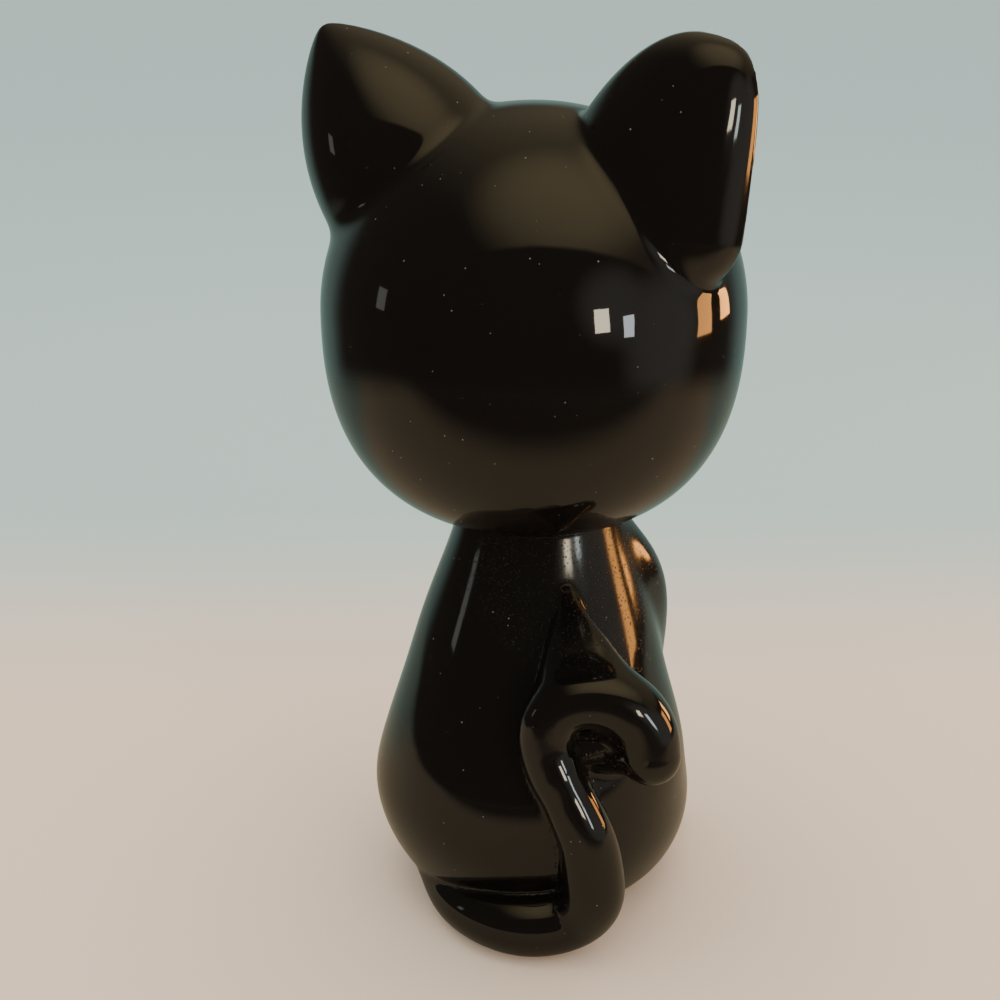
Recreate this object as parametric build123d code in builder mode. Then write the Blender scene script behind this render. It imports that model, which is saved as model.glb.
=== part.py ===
"""Seated ceramic cat with a large round head and a tail that hooks up its back.

The figurine is slip-cast in pieces that are luted together and glazed black.
+Z is up, the cat faces -Y and its left side is +X. The origin is on the table
under the middle of the torso. All sizes are in millimetres.
"""
import os
from math import cos, radians, sin, sqrt, tan

from build123d import *

# ---- Head -------------------------------------------------------------------
HEAD_RADIUS = 40.7          # widest, seen from above
HEAD_EQUATOR_Z = 125.0      # height of the widest level
HEAD_RISE = 39.2            # from the widest level up to the crown
HEAD_DROP = 41.8            # from the widest level down to the chin
HEAD_FULLNESS = 2.5         # of the underside; 2 would be a plain ellipse
HEAD_WALL = 4.0

# ---- Torso ------------------------------------------------------------------
FOOT_RADIUS = 21.8          # where the torso meets the table
FOOT_FORWARD = 4.0          # the torso's middle there, in front of the origin
HIP_RADIUS = 33.3
HIP_Z = 25.0
HIP_FORWARD = 2.0
FLARE_RADIUS = HIP_RADIUS * 0.895           # where the foot has flared out into the hips
FLARE_Z = 9.0
WAIST_RADIUS = 27.4
WAIST_Z = 50.0
NECK_RADIUS = 18.2
NECK_Z = HEAD_EQUATOR_Z - HEAD_DROP - 4.2   # just below the chin
NECK_FORWARD = 5.0
NECK_RUN_IN = HEAD_DROP / 4                 # on past the chin, until the head cuts it off
TORSO_WALL = 4.0

# ---- Base plate -------------------------------------------------------------
PLATE_THICKNESS = 4.0
PLATE_RECESS = 1.2          # the foot ring stands below the plate
VENT_RADIUS = 3.0
RING_WIDTH = 5.0

# ---- Ears -------------------------------------------------------------------
EAR_SPREAD = HEAD_RADIUS * 0.57             # middle of an ear's root, out from the centre line
EAR_BACK = 3.0              # and behind it
EAR_ROOT_Z = HEAD_EQUATOR_Z + 24.5
EAR_TILT = 25.0             # degrees that an ear leans outwards
EAR_YAW = 14.0              # degrees that an ear's back is turned outwards
EAR_LENGTH = 31.0           # root to tip
EAR_ROOT_DEPTH = 9.0        # how far an ear's root runs into the head
EAR_HALF_WIDTH = 18.5
EAR_HALF_THICKNESS = 12.0
EAR_BULGE = 5.0             # how far the thickness is shifted to the back
EAR_HOLLOW_LENGTH = 40.0    # oval hollow in the front of an ear
EAR_HOLLOW_RADIUS = 12.0
EAR_HOLLOW_FORWARD = 13.0
EAR_HOLLOW_HEIGHT = 6.0

# ---- Tail -------------------------------------------------------------------
TAIL_RADIUS = 6.2
TAIL_BEND_SHARE = 0.94      # of each run that its bends take up
TAIL_HOOK_TOP = 57.5
TAIL_TIP_Z = 45.6
WEB_TOP_Z = 72.5            # where the web under the hook fades into the back
WEB_TOP_SIDE = 11.5
WEB_TOP_BACK = 11.5
WEB_HALF_WIDTH = 11.5
WEB_TOP_HALF_WIDTH = 2.0
WEB_HALF_THICKNESS = 4.5

# ---- Legs -------------------------------------------------------------------
SHOULDER_Z = 61.0
SHOULDER_SPREAD = 15.0
SHOULDER_RADIUS = 8.8
SHOULDER_FORWARD = 16.5
SHOULDER_TOP_Z = NECK_Z + 1.0               # where the shoulder has faded into the neck
SHOULDER_TOP_SPREAD = 9.5
SHOULDER_TOP_FORWARD = 8.5
SHOULDER_TOP_RADIUS = 6.0
FORELEG_RADIUS = 6.7
FORELEG_SPREAD = 10.0
FORELEG_FORWARD = HIP_RADIUS - 3.8          # a little sunk into the belly
FOREPAW_LENGTH = 19.0
FOREPAW_HEIGHT = 12.0
FOREPAW_FORWARD = FORELEG_FORWARD + 1.7
HAUNCH_SPREAD = 17.0
HAUNCH_FORWARD = 9.5
HAUNCH_LENGTH = 38.0
HAUNCH_RADIUS = 15.3
HINDPAW_SPREAD = 21.5
HINDPAW_FORWARD = HIP_RADIUS - 4.3
HINDPAW_LENGTH = 23.0
HINDPAW_RADIUS = 7.4

FLAT_DEPTH = 0.8            # how far each paw is pressed flat on the table

# ---- Face -------------------------------------------------------------------
EYE_SPREAD = 17.0
EYE_Z = HEAD_EQUATOR_Z - 9.0
EYE_RADIUS = 8.0
EYE_DEPTH = 6.0             # whole thickness of an eye, most of it in the head
EYE_SET_BACK = 1.2          # how far an eye's middle is behind the head's skin
NOSE_Z = HEAD_EQUATOR_Z - 20.0
NOSE_HALF_WIDTH = 3.0
NOSE_DEPTH = 5.0

SIDES = {"left": 1, "right": -1}


def rounded(width, height, fullness, angle):
    """Point of an oval quarter outline; a fullness of 2 is a plain ellipse."""
    share = 2 / fullness
    return (
        width * max(cos(radians(angle)), 0) ** share,
        height * max(sin(radians(angle)), 0) ** share,
    )


def head_profile(inset):
    """Half outline of the head on the XZ plane, set in from the outer skin."""
    radius = HEAD_RADIUS - inset
    top = HEAD_EQUATOR_Z + HEAD_RISE - inset
    bottom = HEAD_EQUATOR_Z - HEAD_DROP + inset
    crown = [rounded(radius, top - HEAD_EQUATOR_Z, 2, angle) for angle in range(90, 0, -18)]
    chin = [rounded(radius, HEAD_EQUATOR_Z - bottom, HEAD_FULLNESS, angle) for angle in range(0, 90, 18)]
    skin = [(across, HEAD_EQUATOR_Z + up) for across, up in crown]
    skin += [(across, HEAD_EQUATOR_Z - down) for across, down in chin]
    with BuildSketch(Plane.XZ) as profile:
        with BuildLine():
            Spline(*skin, (0, bottom), tangents=[(1, 0), (-1, 0)])
            Line((0, bottom), (0, top))
        make_face()
    return profile.sketch


def oval(plane, length, radius):
    """Half of an oval whose long axis is the plane's X axis, to be spun about it."""
    with BuildSketch(plane) as profile:
        with BuildLine():
            Spline(
                *[(length / 2 * -cos(radians(angle)), radius * sin(radians(angle)))
                  for angle in range(0, 181, 30)],
                tangents=[(0, 1), (0, -1)],
            )
            Line((-length / 2, 0), (length / 2, 0))
        make_face()
    return profile.sketch


def torso_sections(inset):
    """Height, radius and forward shift of each level of the torso."""
    levels = [
        (0.0, FOOT_RADIUS, FOOT_FORWARD),
        (FLARE_Z, FLARE_RADIUS, FOOT_FORWARD),
        (HIP_Z, HIP_RADIUS, HIP_FORWARD),
        (WAIST_Z, WAIST_RADIUS, HIP_FORWARD),
        (NECK_Z, NECK_RADIUS, NECK_FORWARD),
        (NECK_Z + NECK_RUN_IN, NECK_RADIUS, NECK_FORWARD),
    ]
    return [(height, radius - inset, forward) for height, radius, forward in levels]


# ---- Head shell ---------------------------------------------------------------
with BuildPart() as head_form:
    add(head_profile(0))
    revolve(axis=Axis.Z)

with BuildPart() as head_hollow:
    add(head_profile(HEAD_WALL))
    revolve(axis=Axis.Z)

with BuildPart() as head:
    add(head_form.part)
    add(head_hollow.part, mode=Mode.SUBTRACT)
    with BuildSketch(Plane.XY.offset(HEAD_EQUATOR_Z - HEAD_DROP - 1)):
        with Locations((0, -NECK_FORWARD)):
            Circle(NECK_RADIUS - TORSO_WALL - 1)
    extrude(amount=HEAD_DROP / 2, mode=Mode.SUBTRACT)

# ---- Torso shell --------------------------------------------------------------
with BuildPart() as torso_form:
    for height, radius, forward in torso_sections(0):
        with BuildSketch(Plane.XY.offset(height)):
            with Locations((0, -forward)):
                Circle(radius)
    loft()

with BuildPart() as torso_hollow:
    for height, radius, forward in torso_sections(TORSO_WALL):
        with BuildSketch(Plane.XY.offset(height)):
            with Locations((0, -forward)):
                Circle(radius)
    loft()
    split(bisect_by=Plane.XY.offset(PLATE_RECESS + PLATE_THICKNESS))

with BuildPart() as torso:
    add(torso_form.part)
    add(torso_hollow.part, mode=Mode.SUBTRACT)
    with BuildSketch(Plane.XY):
        with Locations((0, -FOOT_FORWARD)):
            Circle(FOOT_RADIUS - RING_WIDTH)
    extrude(amount=PLATE_RECESS + PLATE_THICKNESS, mode=Mode.SUBTRACT)
    add(head_form.part, mode=Mode.SUBTRACT)

# ---- Base plate ---------------------------------------------------------------
with BuildPart() as base_plate:
    with BuildSketch(Plane.XY.offset(PLATE_RECESS)):
        with Locations((0, -FOOT_FORWARD)):
            Circle(FOOT_RADIUS - RING_WIDTH)
            Circle(VENT_RADIUS, mode=Mode.SUBTRACT)
    extrude(amount=PLATE_THICKNESS)

# ---- Ears ---------------------------------------------------------------------
# (share of the height up the ear, share of its width and thickness there)
EAR_SECTIONS = [
    (-EAR_ROOT_DEPTH / EAR_LENGTH, 1.02),
    (0.0, 1.0),
    (0.3, 0.95),
    (0.6, 0.75),
    (0.85, 0.42),
    (1.0, 0.1),
]
ears = {}
for side, sign in SIDES.items():
    ear_plane = Plane(
        origin=(sign * EAR_SPREAD, EAR_BACK, EAR_ROOT_Z), x_dir=(1, 0, 0), z_dir=(0, 0, 1)
    ).rotated((0, sign * EAR_TILT, sign * EAR_YAW))
    hollow_plane = ear_plane.offset(EAR_HOLLOW_HEIGHT)
    hollow_middle = hollow_plane.from_local_coords((0, -EAR_HOLLOW_FORWARD, 0))
    with BuildPart() as ear:
        for height_share, share in EAR_SECTIONS:
            with BuildSketch(ear_plane.offset(EAR_LENGTH * height_share)):
                with Locations((0, EAR_BULGE * share)):
                    Ellipse(EAR_HALF_WIDTH * share, EAR_HALF_THICKNESS * share)
        loft()
        add(
            oval(
                Plane(origin=hollow_middle, x_dir=ear_plane.z_dir, z_dir=ear_plane.x_dir),
                EAR_HOLLOW_LENGTH,
                EAR_HOLLOW_RADIUS,
            )
        )
        revolve(axis=Axis(hollow_middle, ear_plane.z_dir), mode=Mode.SUBTRACT)
        add(head_form.part, mode=Mode.SUBTRACT)
    ears[side] = ear

# ---- Hind legs ----------------------------------------------------------------
hind_legs = {}
for side, sign in SIDES.items():
    haunch_plane = Plane(
        origin=(sign * HAUNCH_SPREAD, -HAUNCH_FORWARD, HAUNCH_RADIUS - FLAT_DEPTH),
        x_dir=(0, 1, 0),
        z_dir=(1, 0, 0),
    )
    hindpaw_plane = Plane(
        origin=(sign * HINDPAW_SPREAD, -HINDPAW_FORWARD, HINDPAW_RADIUS - FLAT_DEPTH),
        x_dir=(0, 1, 0),
        z_dir=(1, 0, 0),
    )
    with BuildPart() as hind_leg:
        add(oval(haunch_plane, HAUNCH_LENGTH, HAUNCH_RADIUS))
        revolve(axis=Axis(haunch_plane.origin, haunch_plane.x_dir))
        add(oval(hindpaw_plane, HINDPAW_LENGTH, HINDPAW_RADIUS))
        revolve(axis=Axis(hindpaw_plane.origin, hindpaw_plane.x_dir))
        split(bisect_by=Plane.XY)
        add(torso_form.part, mode=Mode.SUBTRACT)
    hind_legs[side] = hind_leg

# ---- Forelegs -----------------------------------------------------------------
# (height, side of the centre line, forward of the origin, radius)
LEG_RUN = SHOULDER_Z - FOREPAW_HEIGHT
FORELEG_SECTIONS = [
    (0.0, FORELEG_SPREAD, FORELEG_FORWARD, FORELEG_RADIUS),
    (FOREPAW_HEIGHT, FORELEG_SPREAD, FORELEG_FORWARD, FORELEG_RADIUS),
]
for share in (0.45, 0.75, 1.0):
    # The leg leans back and swells on its way up to the shoulder.
    FORELEG_SECTIONS.append((
        FOREPAW_HEIGHT + LEG_RUN * share,
        FORELEG_SPREAD + (SHOULDER_SPREAD - FORELEG_SPREAD) * share**2,
        FORELEG_FORWARD + (SHOULDER_FORWARD - FORELEG_FORWARD) * share**2,
        FORELEG_RADIUS + (SHOULDER_RADIUS - FORELEG_RADIUS) * share**2,
    ))
FORELEG_SECTIONS.append((SHOULDER_TOP_Z, SHOULDER_TOP_SPREAD, SHOULDER_TOP_FORWARD, SHOULDER_TOP_RADIUS))
forelegs = {}
for side, sign in SIDES.items():
    forepaw_plane = Plane(
        origin=(sign * FORELEG_SPREAD, -FOREPAW_FORWARD, FOREPAW_HEIGHT / 2 - FLAT_DEPTH),
        x_dir=(0, 1, 0),
        z_dir=(1, 0, 0),
    )
    with BuildPart() as foreleg:
        for height, spread, forward, radius in FORELEG_SECTIONS:
            with BuildSketch(Plane.XY.offset(height)):
                with Locations((sign * spread, -forward)):
                    Circle(radius)
        loft()
        add(oval(forepaw_plane, FOREPAW_LENGTH, FOREPAW_HEIGHT / 2))
        revolve(axis=Axis(forepaw_plane.origin, forepaw_plane.x_dir))
        split(bisect_by=Plane.XY)
        add(torso_form.part, mode=Mode.SUBTRACT)
        add(hind_legs[side].part, mode=Mode.SUBTRACT)
    forelegs[side] = foreleg

# ---- Tail and the web behind its hook -------------------------------------------
TAIL_REST = TAIL_RADIUS - FLAT_DEPTH / 2


def beside_hips(turn, out, height):
    """Point out from the hips' skin, turned from the middle of the back to the cat's left."""
    reach = HIP_RADIUS + out
    return Vector(reach * sin(radians(turn)), reach * cos(radians(turn)) - HIP_FORWARD, height)


# Corner points of the tail: along the table round the back, up the haunch and over.
hook_start = beside_hips(-24.5, -2.0, TAIL_HOOK_TOP)
hook_end = beside_hips(-58.0, 3.7, TAIL_HOOK_TOP)
TAIL_CORNERS = [
    beside_hips(40, -9.9, TAIL_REST),
    beside_hips(5, -2.2, TAIL_REST),
    beside_hips(-18, -1.7, TAIL_REST),
    beside_hips(-43, 0.7, TAIL_REST + 2),
    beside_hips(-39, 3.3, HIP_Z),
    hook_start,
    hook_end,
    Vector(hook_end.X, hook_end.Y, TAIL_TIP_Z),
]


def bend_radii(corners):
    """Bend at each inner corner, where two bends share a run in proportion to their sharpness."""
    runs = [after - before for before, after in zip(corners, corners[1:])]
    sharpness = [
        tan(radians(before.get_angle(after) / 2)) for before, after in zip(runs, runs[1:])
    ]
    # Neighbours with no sharpness of their own stand for the tail's two free ends.
    padded = [0.0, *sharpness, 0.0]
    room = [
        run.length * TAIL_BEND_SHARE / (padded[i] + padded[i + 1]) for i, run in enumerate(runs)
    ]
    return [min(before, after) for before, after in zip(room, room[1:])]


tail_radii = bend_radii(TAIL_CORNERS)
tail_route = FilletPolyline(*TAIL_CORNERS, radius=tail_radii)
tail_tip = tail_route @ 1
hook_middle = (hook_start + hook_end) / 2
web_top = Vector(-WEB_TOP_SIDE, WEB_TOP_BACK, WEB_TOP_Z)
web_plane = Plane(origin=hook_middle, x_dir=hook_end - hook_start, z_dir=web_top - hook_middle)
with BuildPart() as tail:
    with BuildLine():
        add(tail_route)
    with BuildSketch(Plane(origin=tail_route @ 0, z_dir=tail_route % 0)):
        Circle(TAIL_RADIUS)
    sweep(path=tail_route)
    add(oval(Plane(origin=tail_tip, x_dir=(0, 0, -1), z_dir=(0, 1, 0)), 2 * TAIL_RADIUS, TAIL_RADIUS))
    revolve(axis=Axis(tail_tip, (0, 0, 1)))
    split(bisect_by=Plane.XY)
    add(torso_form.part, mode=Mode.SUBTRACT)

with BuildPart() as tail_web:
    with BuildSketch(web_plane):
        Ellipse(WEB_HALF_WIDTH, WEB_HALF_THICKNESS)
    with BuildSketch(web_plane.offset((web_top - hook_middle).length)):
        Circle(WEB_TOP_HALF_WIDTH)
    loft()
    add(torso_form.part, mode=Mode.SUBTRACT)
    add(tail.part, mode=Mode.SUBTRACT)

# ---- Eyes and nose --------------------------------------------------------------
def head_radius_at(height):
    """Radius of the head's underside at a height below its widest level."""
    drop_share = (HEAD_EQUATOR_Z - height) / HEAD_DROP
    return HEAD_RADIUS * (1 - drop_share**HEAD_FULLNESS) ** (1 / HEAD_FULLNESS)


def face_plane(spread, height, set_back):
    """Plane whose X axis points straight out of the face there, set back from the skin."""
    radius = head_radius_at(height)
    forward = sqrt(radius**2 - spread**2)
    outward = Vector(spread, -forward, 0).normalized()
    return Plane(origin=outward * (radius - set_back) + Vector(0, 0, height), x_dir=outward,
                 z_dir=(outward.Y, -outward.X, 0))


eyes = {}
for side, sign in SIDES.items():
    eye_plane = face_plane(sign * EYE_SPREAD, EYE_Z, EYE_SET_BACK)
    with BuildPart() as eye:
        add(oval(eye_plane, EYE_DEPTH, EYE_RADIUS))
        revolve(axis=Axis(eye_plane.origin, eye_plane.x_dir))
        add(head_form.part, mode=Mode.SUBTRACT)
    eyes[side] = eye

nose_plane = face_plane(0, NOSE_Z, 0)
with BuildPart() as nose:
    add(oval(nose_plane, NOSE_DEPTH, NOSE_HALF_WIDTH))
    revolve(axis=Axis(nose_plane.origin, nose_plane.x_dir))
    add(head_form.part, mode=Mode.SUBTRACT)

nodes = {
    "head": head,
    "torso": torso,
    "base_plate": base_plate,
    "tail": tail,
    "tail_web": tail_web,
    "nose": nose,
}
for side in SIDES:
    nodes[f"{side}_eye"] = eyes[side]
    nodes[f"{side}_ear"] = ears[side]
    nodes[f"{side}_foreleg"] = forelegs[side]
    nodes[f"{side}_hind_leg"] = hind_legs[side]

os.makedirs("parts", exist_ok=True)
for name, piece in nodes.items():
    piece.part.label = name
    export_step(piece.part, f"parts/{name}.step")
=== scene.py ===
"""Seated black glazed cat: the clay forms, their blended joints, the glaze and the stage.

Run as a script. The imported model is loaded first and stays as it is; every piece
made here stands for one of its nodes. Forms are worked in millimetres and turned
to metres when a mesh is made. +Z is up, the cat faces -Y, its left side is +X.
"""

import math

import bmesh
import bpy
import numpy as np
from mathutils import Matrix, Vector


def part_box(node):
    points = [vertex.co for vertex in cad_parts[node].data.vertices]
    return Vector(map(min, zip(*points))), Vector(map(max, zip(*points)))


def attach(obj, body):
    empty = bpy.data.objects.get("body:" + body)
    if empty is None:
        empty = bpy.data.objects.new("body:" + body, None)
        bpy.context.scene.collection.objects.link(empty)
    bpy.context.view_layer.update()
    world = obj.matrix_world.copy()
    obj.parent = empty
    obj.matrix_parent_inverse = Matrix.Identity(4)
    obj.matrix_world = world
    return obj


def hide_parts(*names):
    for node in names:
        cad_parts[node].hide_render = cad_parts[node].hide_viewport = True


bl_info = {
    "name": "Glazed cat figurine",
    "version": (1, 0, 0),
    "blender": (4, 5, 0),
    "location": "3D View > Sidebar > Figurine",
    "description": "Models, glazes and stages a seated ceramic cat",
    "category": "Object",
}

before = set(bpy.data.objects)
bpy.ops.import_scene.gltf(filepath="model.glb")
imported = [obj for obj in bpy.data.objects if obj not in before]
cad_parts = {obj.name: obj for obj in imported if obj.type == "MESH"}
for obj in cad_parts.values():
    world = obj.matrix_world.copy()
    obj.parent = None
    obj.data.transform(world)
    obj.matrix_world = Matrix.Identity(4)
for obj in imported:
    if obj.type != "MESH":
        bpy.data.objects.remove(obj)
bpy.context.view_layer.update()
MM = 0.001
SIDES = {"left": 1, "right": -1}


# ---- Small helpers ---------------------------------------------------------------
def hex_to_linear(code):
    """Linear RGBA of an sRGB hex colour such as "#1a1512"."""
    channels = [int(code[i : i + 2], 16) / 255 for i in (1, 3, 5)]
    linear = [c / 12.92 if c <= 0.04045 else ((c + 0.055) / 1.055) ** 2.4 for c in channels]
    return (*linear, 1.0)


def deselect_all():
    """Leaves object mode with nothing selected."""
    if bpy.context.mode != "OBJECT":
        bpy.ops.object.mode_set(mode="OBJECT")
    bpy.ops.object.select_all(action="DESELECT")


def activate(obj):
    """Makes obj the only selected and the active object."""
    deselect_all()
    obj.select_set(True)
    bpy.context.view_layer.objects.active = obj


def named(name):
    """The active object, renamed together with its mesh."""
    obj = bpy.context.active_object
    obj.name = name
    obj.data.name = name
    return obj


def points_of(mesh):
    """Vertex positions of a mesh in millimetres."""
    flat = np.empty(len(mesh.vertices) * 3)
    mesh.vertices.foreach_get("co", flat)
    return flat.reshape(-1, 3) / MM


def set_points(mesh, points):
    """Moves the vertices of a mesh to positions in millimetres."""
    mesh.vertices.foreach_set("co", (points * MM).ravel())
    mesh.update()


# ---- Fields: how far a point is from a form, in millimetres --------------------------
def blend_min(a, b, reach):
    """Union of two forms with a soft fillet about as wide as reach."""
    overlap = np.maximum(reach - np.abs(a - b), 0) / reach
    return np.minimum(a, b) - overlap**3 * reach / 6


def blend_max(a, b, reach):
    """Intersection of two forms with a softened edge."""
    return -blend_min(-a, -b, reach)


def spline_through(rows):
    """Smooth curve through rows of (parameter, value, value, ...)."""
    rows = np.asarray(rows, float)
    knots, values = rows[:, 0], rows[:, 1:]
    gaps = np.diff(knots)
    count = len(knots)
    system = np.eye(count)
    load = np.zeros((count, values.shape[1]))
    for i in range(1, count - 1):
        system[i, i - 1 : i + 2] = gaps[i - 1], 2 * (gaps[i - 1] + gaps[i]), gaps[i]
        load[i] = 6 * ((values[i + 1] - values[i]) / gaps[i] - (values[i] - values[i - 1]) / gaps[i - 1])
    bend = np.linalg.solve(system, load)

    def curve(at):
        at = np.clip(np.asarray(at, float), knots[0], knots[-1])
        i = np.clip(np.searchsorted(knots, at, side="right") - 1, 0, count - 2)
        gap = gaps[i][..., None]
        before = (knots[i + 1] - at)[..., None] / gap
        after = (at - knots[i])[..., None] / gap
        sag = (before**3 - before) * bend[i] + (after**3 - after) * bend[i + 1]
        return before * values[i] + after * values[i + 1] + sag * gap**2 / 6

    return curve


def turned(about_z, about_y):
    """Rotation whose columns are a form's own axes, angles in degrees."""
    z, y = math.radians(about_z), math.radians(about_y)
    return np.array(Matrix.Rotation(z, 3, "Z") @ Matrix.Rotation(y, 3, "Y"))


def ellipsoid(points, centre, radii):
    """Distance to an ellipsoid, close to true near its skin."""
    offset = points - np.asarray(centre, float)
    radii = np.asarray(radii, float)
    inner = np.sqrt(((offset / radii) ** 2).sum(1))
    slope = np.sqrt(((offset / radii**2) ** 2).sum(1))
    return inner * (inner - 1) / np.maximum(slope, 1e-9)


class Roll:
    """A tapered roll of clay along a smooth line through (x, y, z, radius) points."""

    SAMPLES = 80
    MARGIN = 9.0

    def __init__(self, points):
        points = np.asarray(points, float)
        steps = np.linalg.norm(np.diff(points[:, :3], axis=0), axis=1)
        along = np.concatenate([[0], np.cumsum(steps)])
        self.length = along[-1]
        self.line = spline_through(np.column_stack([along, points]))
        self.at = np.linspace(0, self.length, self.SAMPLES)
        self.samples = self.line(self.at)
        widest = self.samples[:, 3].max() + self.MARGIN
        self.low = self.samples[:, :3].min(0) - widest
        self.high = self.samples[:, :3].max(0) + widest

    def gap(self, points, at):
        """Distance of each point to the ball of clay at its own place on the line."""
        balls = self.line(at)
        return np.linalg.norm(points - balls[:, :3], axis=1) - balls[:, 3]

    def __call__(self, points):
        middle = (self.low + self.high) / 2
        outside = np.max(np.abs(points - middle) - (self.high - self.low) / 2, axis=1)
        gaps = np.maximum(outside, 0) + self.MARGIN - 2
        near = outside < 0
        if near.any():
            gaps[near] = self.near_gap(points[near])
        return gaps

    def near_gap(self, points):
        """Distance to the roll, from the nearest sample slid along the line to the closest ball."""
        step = self.at[1] - self.at[0]
        centres, radii = self.samples[:, :3], self.samples[:, 3]
        squares = (points**2).sum(1)[:, None] - 2 * points @ centres.T + (centres**2).sum(1)
        at = self.at[(np.sqrt(np.maximum(squares, 0)) - radii).argmin(1)]
        for _ in range(3):
            before, here, after = (self.gap(points, at + shift * step / 2) for shift in (-1, 0, 1))
            curvature = before - 2 * here + after
            safe = np.where(np.abs(curvature) > 1e-9, curvature, 1)
            move = np.where(np.abs(curvature) > 1e-9, (before - after) / 2 / safe, 0) * step / 2
            at = np.clip(at + np.clip(move, -step, step), 0, self.length)
        return self.gap(points, at)


# ---- The cat's forms -----------------------------------------------------------------
HEAD_DEPTH_SHARE = 0.983    # how deep the head is for its width
CROWN_FULLNESS = 2.05
MUZZLE = ((0, -35.2, 104.5), (12.0, 6.5, 7.5))      # (middle, radii)
MUZZLE_BLEND = 9.0


def head_form(points, sizes):
    """Big round head, with a fuller and flatter underside."""
    radius = sizes.head_radius / MM
    depth = radius * HEAD_DEPTH_SHARE
    offset = points - np.array([sizes.head_shift, 0, sizes.head_z]) / MM
    across = np.hypot(offset[:, 0] / radius, offset[:, 1] / depth)
    above = offset[:, 2] > 0
    fullness = np.where(above, CROWN_FULLNESS, sizes.head_fullness)
    height = np.where(above, sizes.head_rise, sizes.head_drop) / MM
    share = (across**fullness + np.abs(offset[:, 2] / height) ** fullness) ** (1 / fullness)
    skin = np.linalg.norm(offset, axis=1) * (1 - 1 / np.maximum(share, 1e-6))
    return blend_min(skin, ellipsoid(points, *MUZZLE), MUZZLE_BLEND)


# Each ear was bent a little differently when it was luted on.
EARS = {
    "left": {
        "root": (20.8, 5.0, 148.4), "yaw": 17.0, "tilt": 28.3, "length": 33.7, "half_width": 18.0,
        "back": 19.4, "front": 7.5, "roundness": 2.14, "edge": 1.11, "skew": 0.017, "bend": 0.042,
    },
    "right": {
        "root": (-24.1, 7.5, 146.6), "yaw": 16.9, "tilt": 12.5, "length": 31.5, "half_width": 19.4,
        "back": 13.4, "front": 4.5, "roundness": 1.3, "edge": 2.74, "skew": -0.005, "bend": 0.178,
    },
}
EAR_ROOT = 13.0             # how far an ear reaches down into the head
EAR_RIM = 0.09              # how round its rim is, as a share of its width
EAR_REACH = 12.0            # beyond this a plain ball stands in for the ear
EAR_BALL = 30.0
EAR_HOLLOW = ((0, -13, 6), (13, 11, 20))


def ear_form(points, side):
    """Ear with a convex back and a hollowed front, leaning outwards."""
    ear, sign = EARS[side], SIDES[side]
    local = (points - np.array(ear["root"])) @ turned(sign * ear["yaw"], sign * ear["tilt"])
    up = local[:, 2]
    climb = np.maximum(up, 0)
    across = sign * local[:, 0] - ear["skew"] * up - ear["bend"] * climb**2 / ear["length"]
    back = local[:, 1]
    depth = np.where(back > 0, ear["back"], ear["front"])
    edge, roundness = ear["edge"], ear["roundness"]
    ring = (across / ear["half_width"]) ** 2 + (back / depth) ** 2 + EAR_RIM**2
    rise = climb / ear["length"]
    sink = np.maximum(-up, 0) / EAR_ROOT
    share = ring ** (edge / 2) + rise**roundness + sink**2 - 1 - EAR_RIM**edge
    ring_slope = edge * ring ** (edge / 2 - 1)
    slope_across = ring_slope * across / ear["half_width"] ** 2
    slope_back = ring_slope * back / depth**2
    lean = ear["skew"] + 2 * ear["bend"] * rise
    slope_up = roundness * rise ** (roundness - 1) / ear["length"] - slope_across * lean
    slope_up = slope_up - 2 * sink / EAR_ROOT
    slope = np.sqrt(slope_across**2 + slope_back**2 + slope_up**2)
    gap = share / np.maximum(slope, 1e-3)
    far = np.linalg.norm(local - np.array([0, 0, ear["length"] * 0.3]), axis=1) - EAR_BALL
    gap = np.where(far > EAR_REACH, np.maximum(gap, far), gap)
    hollow = ellipsoid(np.column_stack([across, back, up]), *EAR_HOLLOW)
    gap = blend_max(gap, -hollow, 1.5)
    return blend_max(gap, -up - EAR_ROOT - 3, 2.0)


# (height, radius, sideways, forward) of each level of the torso
TORSO_LEVELS = [
    (-6, 15.0, 0.8, -4.0),
    (0, 21.8, 0.8, -4.0),
    (4, 26.4, 0.8, -4.0),
    (9, 30.0, 0.8, -3.8),
    (17, 32.8, 0.8, -2.8),
    (25, 33.3, 0.8, -1.8),
    (33, 32.2, 0.2, -1.6),
    (49, 27.6, 0.0, -2.4),
    (62, 24.0, 0.0, -3.8),
    (70, 21.3, 0.0, -4.6),
    (79, 18.2, 0.0, -5.0),
    (90, 15.5, 0.0, -5.0),
]
torso_level = spline_through(TORSO_LEVELS)

# The base plate closes the torso from below, a little up inside the foot ring.
plate_low, plate_high = (np.array(corner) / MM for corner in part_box("base_plate"))
BASE_MIDDLE = (plate_low + plate_high) / 2
BASE_RADIUS = (plate_high[0] - plate_low[0]) / 2 - 0.2      # the foot ring laps over the plate
BASE_RECESS = plate_low[2] + 1.5
NECK_TOP = 86.0     # the neck ends here, inside the head


def torso_form(points):
    """Pear-shaped torso, flat on the table."""
    height = points[:, 2]
    here = torso_level(height)
    above = torso_level(height + 0.5)
    slope = (above[:, 0] - here[:, 0]) / 0.5
    across = np.hypot(points[:, 0] - here[:, 1], points[:, 1] - here[:, 2])
    skin = (across - here[:, 0]) / np.sqrt(1 + slope**2)
    skin = blend_max(skin, -height, 3.0)
    recess = np.hypot(points[:, 0] - BASE_MIDDLE[0], points[:, 1] - BASE_MIDDLE[1]) - BASE_RADIUS
    recess = np.maximum(recess, height - BASE_RECESS)
    skin = blend_max(skin, -recess, 0.8)
    return blend_max(skin, height - NECK_TOP, 3.0)


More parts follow.
